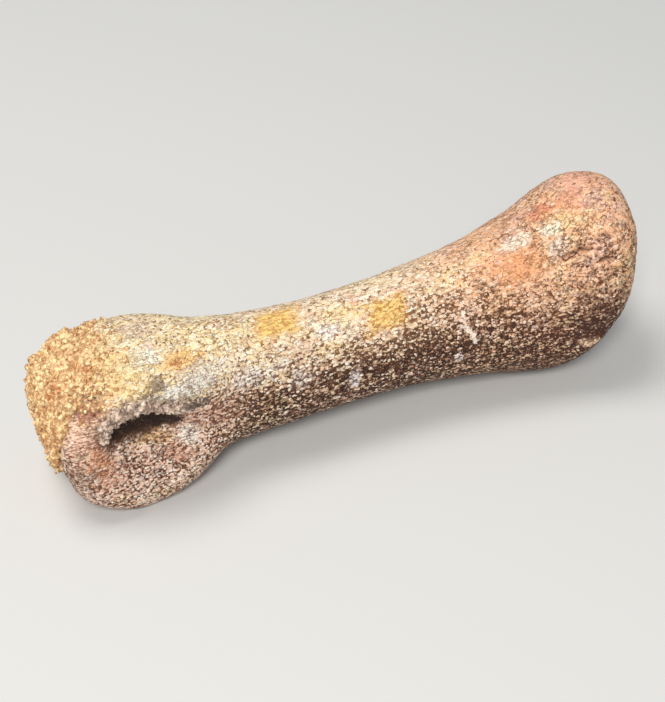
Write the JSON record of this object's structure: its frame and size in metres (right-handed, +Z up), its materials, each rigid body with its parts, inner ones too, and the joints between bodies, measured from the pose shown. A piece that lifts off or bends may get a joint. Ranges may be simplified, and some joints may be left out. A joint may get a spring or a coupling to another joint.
{
  "type": "fossil theropod toe bone",
  "caption": "Fossil dinosaur toe bone lying on its sole, with a grooved roller joint and open ligament pit at one end, a cupped joint face at the other, and sandstone matrix left on it.",
  "frame": {"origin": "under the middle of the fossil's box, on the surface that it lies on", "axes": "+X along the bone from its far (distal) joint to its near (proximal) joint, -Y the flank with the open ligament pit, +Z up, the way the top of the toe faces"},
  "size_m": [0.0768, 0.021, 0.0244],
  "materials": {
    "bone": "matt mineralised bone, pale cream and pink flakes over dark brown",
    "matrix": "yellow-orange cemented sand grains, slightly glassy",
    "pit_matrix": "grey and pinkish cemented sand grains"
  },
  "bodies": {
    "root": {"toe_bone": "bone", "joint_matrix": "matrix", "pit_matrix": "pit_matrix"}
  },
  "joints": []
}
